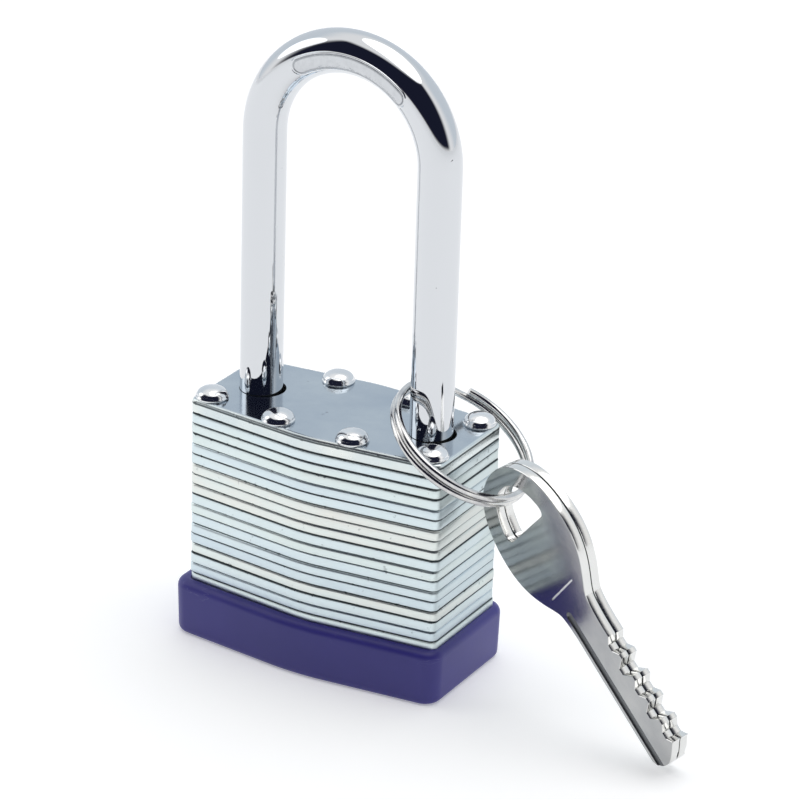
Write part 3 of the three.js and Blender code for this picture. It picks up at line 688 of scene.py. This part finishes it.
# ------------------------------------------------------------------ shackle
def swept(bm, edges, scale_about=None, scale=1.0, move=(0, 0, 0)):
    """Extrudes an open loop, then scales it about a point and moves it; returns the new loop."""
    made = bmesh.ops.extrude_edge_only(bm, edges=edges)["geom"]
    verts = [v for v in made if isinstance(v, bmesh.types.BMVert)]
    if scale_about is not None:
        space = Matrix.Translation(-Vector(scale_about))
        bmesh.ops.scale(bm, vec=(scale, scale, 1), space=space, verts=verts)
    bmesh.ops.translate(bm, vec=move, verts=verts)
    return [e for e in made if isinstance(e, bmesh.types.BMEdge)]


def add_shackle():
    """Round rod: up the necked heel leg, around the arch and down the notched toe leg."""
    heel_x, toe_x = CENTRE_X + LEG_X, CENTRE_X - LEG_X
    chamfer = 0.5 * MM
    start = SHACKLE_LOW.z
    bm = bmesh.new()
    section = bmesh.ops.create_circle(bm, cap_ends=False, segments=56, radius=ROD_RADIUS - chamfer)["verts"]
    bmesh.ops.translate(bm, vec=(heel_x, 0, start), verts=section)
    edges = list({e for v in section for e in v.link_edges})
    first = edges
    radius, height = ROD_RADIUS - chamfer, start
    slant = 0.3 * MM
    leg = [(ROD_RADIUS, start + chamfer), (ROD_RADIUS, NECK_BOTTOM_Z), (NECK_RADIUS, NECK_BOTTOM_Z + slant),
           (NECK_RADIUS, NECK_TOP_Z - slant), (ROD_RADIUS, NECK_TOP_Z), (ROD_RADIUS, BODY_TOP),
           (ROD_RADIUS, ARCH_CENTRE_Z)]
    for new_radius, new_height in leg:
        edges = swept(bm, edges, (heel_x, 0, height), new_radius / radius, (0, 0, new_height - height))
        radius, height = new_radius, new_height
    arch = bmesh.ops.spin(bm, geom=edges, cent=(CENTRE_X, 0, ARCH_CENTRE_Z), axis=(0, -1, 0), angle=math.pi,
                          steps=72, use_duplicate=False)["geom_last"]
    edges = [e for e in arch if isinstance(e, bmesh.types.BMEdge)]
    edges = swept(bm, edges, move=(0, 0, BODY_TOP - ARCH_CENTRE_Z))
    edges = swept(bm, edges, move=(0, 0, TOE_END_Z + chamfer - BODY_TOP))
    edges = swept(bm, edges, (toe_x, 0, TOE_END_Z + chamfer), (ROD_RADIUS - chamfer) / ROD_RADIUS,
                  (0, 0, -chamfer))
    for rim in (first, edges):
        bmesh.ops.contextual_create(bm, geom=rim)
    rod = to_object("shackle_rod", bm)
    notch = bmesh.new()
    floor = toe_x + ROD_RADIUS - NOTCH_DEPTH
    box_mesh(notch, (floor, -4 * MM, NOTCH_Z - NOTCH_HALF_HEIGHT),
             (floor + 4 * MM, 4 * MM, NOTCH_Z + NOTCH_HALF_HEIGHT))
    cutter = to_object("cutter_notch", notch)
    cut_away(rod, [cutter])
    discard([cutter])
    fit(rod, CHROME, "shackle", ["shackle"])


# ------------------------------------------------------------------ split ring
def add_ring():
    """Two turns of wire: one level turn, a short ramp, and the second turn against the first."""
    bm = bmesh.new()
    section = bmesh.ops.create_circle(bm, cap_ends=True, segments=20, radius=RING_WIRE_RADIUS)["verts"]
    bmesh.ops.rotate(bm, cent=(0, 0, 0), matrix=Matrix.Rotation(math.pi / 2, 3, "X"), verts=section)
    bmesh.ops.translate(bm, vec=(RING_RADIUS, 0, -RING_PITCH / 2), verts=section)
    geometry = bm.faces[:]
    ramp_steps = 10
    level = [(315, 80, 0.0)]
    ease = [i / ramp_steps for i in range(ramp_steps + 1)]
    ease = [t * t * (3 - 2 * t) for t in ease]
    ramp = [(45 / ramp_steps, 1, RING_PITCH * (b - a)) for a, b in zip(ease, ease[1:])]
    for angle, steps, rise in level + ramp + level:
        made = bmesh.ops.spin(bm, geom=geometry, cent=(0, 0, 0), axis=UP, angle=radians(angle), steps=steps,
                              dvec=(0, 0, rise), use_duplicate=False)["geom_last"]
        geometry = [g for g in made if isinstance(g, bmesh.types.BMFace)] or made
    turn = Matrix.Rotation(2 * math.pi * 0.45, 4, "Z")
    bmesh.ops.transform(bm, matrix=ring_frame() @ turn, verts=bm.verts)
    fit(to_object("split_ring_wire", bm), WIRE, "key_ring", ["key_ring"], 50)


# ------------------------------------------------------------------ keys
def outline_spline(curve, knots):
    """Closed spline from knots: (point, handle towards the last knot, handle towards the next)."""
    spline = curve.splines.new("BEZIER")
    spline.bezier_points.add(len(knots) - 1)
    spline.use_cyclic_u = True
    for knot, (point, before, after) in zip(spline.bezier_points, knots):
        knot.handle_left_type = knot.handle_right_type = "FREE"
        places = [Vector((x, y, 0)) * MM for x, y in (point, before, after)]
        knot.co, knot.handle_left, knot.handle_right = places


def corner_knot(x, y):
    """Knot with no rounding."""
    return ((x, y), (x, y), (x, y))


def key_outline():
    """Key from bow to tip along X, with the cuts on +Y, in millimetres."""
    length, half, start = (value / MM for value in (KEY_LENGTH, BLADE_HALF_WIDTH, BLADE_START))
    knots = [((0, 0), (0, 6.25), (0, -6.25)), ((11, -10), (4.5, -10), (17, -10)),
             ((21.3, -4.3), (19.6, -4.92), (22.4, -3.9)),
             ((start, -half), (start - 1, -half), (start + 1, -half)),
             ((length - 1.6, -half), (length - 3, -half), (length - 0.6, -half + 0.4)),
             ((length, -0.4), (length, -half + 1.4), (length, 0.8)),
             corner_knot(length - 1.6, half - 0.8)]
    wide, narrow = CUT_HALF_WIDTH / MM, CUT_FLOOR_HALF_WIDTH / MM
    for index in reversed(range(len(CUT_DEPTHS))):
        middle = (FIRST_CUT + index * CUT_PITCH) / MM
        floor = half - CUT_DEPTHS[index] / MM
        for dx, y in ((wide, half), (narrow, floor), (-narrow, floor), (-wide, half)):
            knots.append(corner_knot(middle + dx, y))
    knots.append(((start, half), (start + 1, half), (start - 1, half)))
    knots.append(((21.3, 4.3), (22.4, 3.9), (19.6, 4.92)))
    knots.append(((11, 10), (17, 10), (4.5, 10)))
    return knots


def bow_hole():
    """Hole in the bow, in millimetres: straight towards the blade, arched towards the top."""
    return [((9, -5), (9, -5.7), (9, -4)), ((9, 5), (9, 4), (9, 5.7)), ((7.4, 5.8), (8.4, 6.1), (4.6, 5)),
            ((2.6, 0), (2.6, 3), (2.6, -3)), ((7.4, -5.8), (4.6, -5), (8.4, -6.1))]


def add_key(name, node, wire_angle, hole_point):
    """Flat stamped key with eased edges, a milled groove on each face and a scribed line at the neck."""
    edge_round = 0.14 * MM
    curve = bpy.data.curves.new(name, "CURVE")
    curve.dimensions = "2D"
    curve.fill_mode = "BOTH"
    curve.resolution_u = 14
    curve.extrude = KEY_THICKNESS / 2 - edge_round
    curve.bevel_depth = edge_round
    curve.bevel_resolution = 2
    curve.offset = -edge_round
    outline_spline(curve, key_outline())
    outline_spline(curve, bow_hole())
    flat = bpy.data.objects.new(name + "_outline", curve)
    bpy.context.scene.collection.objects.link(flat)
    bm = bmesh.new()
    bm.from_mesh(bpy.data.meshes.new_from_object(flat.evaluated_get(bpy.context.evaluated_depsgraph_get())))
    bmesh.ops.remove_doubles(bm, verts=bm.verts, dist=1e-6)
    key = to_object(name, bm)
    discard([flat])
    half = KEY_THICKNESS / 2
    tools = []
    for side, middle, width in ((1, -2.3 * MM, 1.5 * MM), (-1, 0.9 * MM, 1.2 * MM)):
        groove = bmesh.new()
        depth = sorted((side * (half - GROOVE_DEPTH), side * (half + 1 * MM)))
        box_mesh(groove, (GROOVE_START, middle - width / 2, depth[0]),
                 (KEY_LENGTH + 1 * MM, middle + width / 2, depth[1]))
        uprights = [e for e in groove.edges if abs(e.verts[0].co.z - e.verts[1].co.z) > 1e-6
                    and e.verts[0].co.x < BLADE_START]
        bmesh.ops.bevel(groove, geom=uprights, offset=width * 0.48, segments=5, profile=0.5, affect="EDGES",
                        material=-1)
        tools.append(to_object("cutter_groove", groove))
    scribe = bmesh.new()
    made = box_mesh(scribe, (-0.13 * MM, -3.8 * MM, half - SCRIBE_DEPTH),
                    (0.13 * MM, 3.8 * MM, half + 1 * MM))
    bmesh.ops.rotate(scribe, cent=(0, 0, 0), matrix=Matrix.Rotation(radians(2.6), 3, "Z"), verts=made)
    bmesh.ops.translate(scribe, vec=(SCRIBE_X, -0.3 * MM, 0), verts=made)
    tools.append(to_object("cutter_scribe", scribe))
    cut_away(key, tools)
    discard(tools)
    length = KEY_LENGTH_DIRECTION
    face = (KEY_FACE_DIRECTION - length * KEY_FACE_DIRECTION.dot(length)).normalized()
    turn = Matrix((length, face.cross(length), face)).transposed().to_4x4()
    from_hole = Matrix.Translation((-hole_point[0], -hole_point[1], 0))
    key.data.transform(Matrix.Translation(on_ring(wire_angle)) @ turn @ from_hole)
    fit(key, NICKEL, node, [node], 28, face)


def add_keys():
    add_key("key_front", "key_1", FRONT_KEY_ANGLE, (4.13 * MM, -1.05 * MM))
    add_key("key_back", "key_2", BACK_KEY_ANGLE, (4.15 * MM, -1.66 * MM))


# ------------------------------------------------------------------ works inside the lock
def finish_works():
    """Carried-over nodes of the lock's hidden works get their own finishes."""
    finishes = {"cylinder_housing": BRASS, "pin_cover": BRASS, "plug": BRASS, "cam": BRASS,
                "locking_bolt": PLATED_STEEL, "heel_pin": PLATED_STEEL, "shackle_spring": SPRING_STEEL,
                "bolt_spring": SPRING_STEEL}
    for row in range(1, 5):
        finishes[f"key_pin_{row}"] = BRASS
        finishes[f"driver_pin_{row}"] = BRASS
        finishes[f"pin_spring_{row}"] = SPRING_STEEL
    for name, material in finishes.items():
        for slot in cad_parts[name].material_slots:
            slot.link = "OBJECT"
            slot.material = material


# ------------------------------------------------------------------ floor and studio
def add_floor():
    bm = bmesh.new()
    bmesh.ops.create_grid(bm, x_segments=1, y_segments=1, size=3)
    floor = to_object("studio_floor", bm)
    panel = Finish("backlit_white_panel", Base_Color=rgb(238, 238, 238), Roughness=0.9,
                   Emission_Color=rgb(255, 255, 255), Emission_Strength=0.31)
    floor.data.materials.append(panel.material)


def add_studio():
    """White room, dimmer and bluish on the side where the operator stands."""
    world = bpy.data.worlds.new("studio")
    bpy.context.scene.world = world
    world.use_nodes = True
    bench = NodeBench(world.node_tree)
    direction = bench.node("TexCoord", output="Generated")
    x, y, z = (bench.axis(name, direction) for name in "XYZ")
    ahead = Vector((0.255, -0.967))
    level = (x * x + y * y) ** 0.5 + 0.001
    towards = (x * ahead.x + y * ahead.y) / level
    operator = bench.step(towards, 0.15, 0.45) * bench.step(z, -0.04, 0.04)
    operator = operator * bench.step(z, 0.88, 0.78)
    far_wall = bench.step(towards, 0.1, -0.4) * bench.step(z, 0.9, 0.6)
    room = bench.mix(far_wall, (1, 1, 1, 1), (0.74, 0.8, 0.86, 1))
    background = world.node_tree.nodes["Background"]
    bench.feed(background.inputs["Color"], bench.mix(operator, room, (0.012, 0.014, 0.03, 1)))
    background.inputs["Strength"].default_value = 1.0
    add_area_light("overhead", (0.15, 0.1, 1.1), (1.3, 1), 3.2)
    add_area_light("left_box", (-1.0, -0.3, 0.6), (0.7, 0.7), 1.1)


add_camera()
add_plates()
add_rivets()
add_bumper()
add_shackle()
add_ring()
add_keys()
finish_works()
add_floor()
add_studio()
bpy.context.scene.view_settings.view_transform = "Standard"
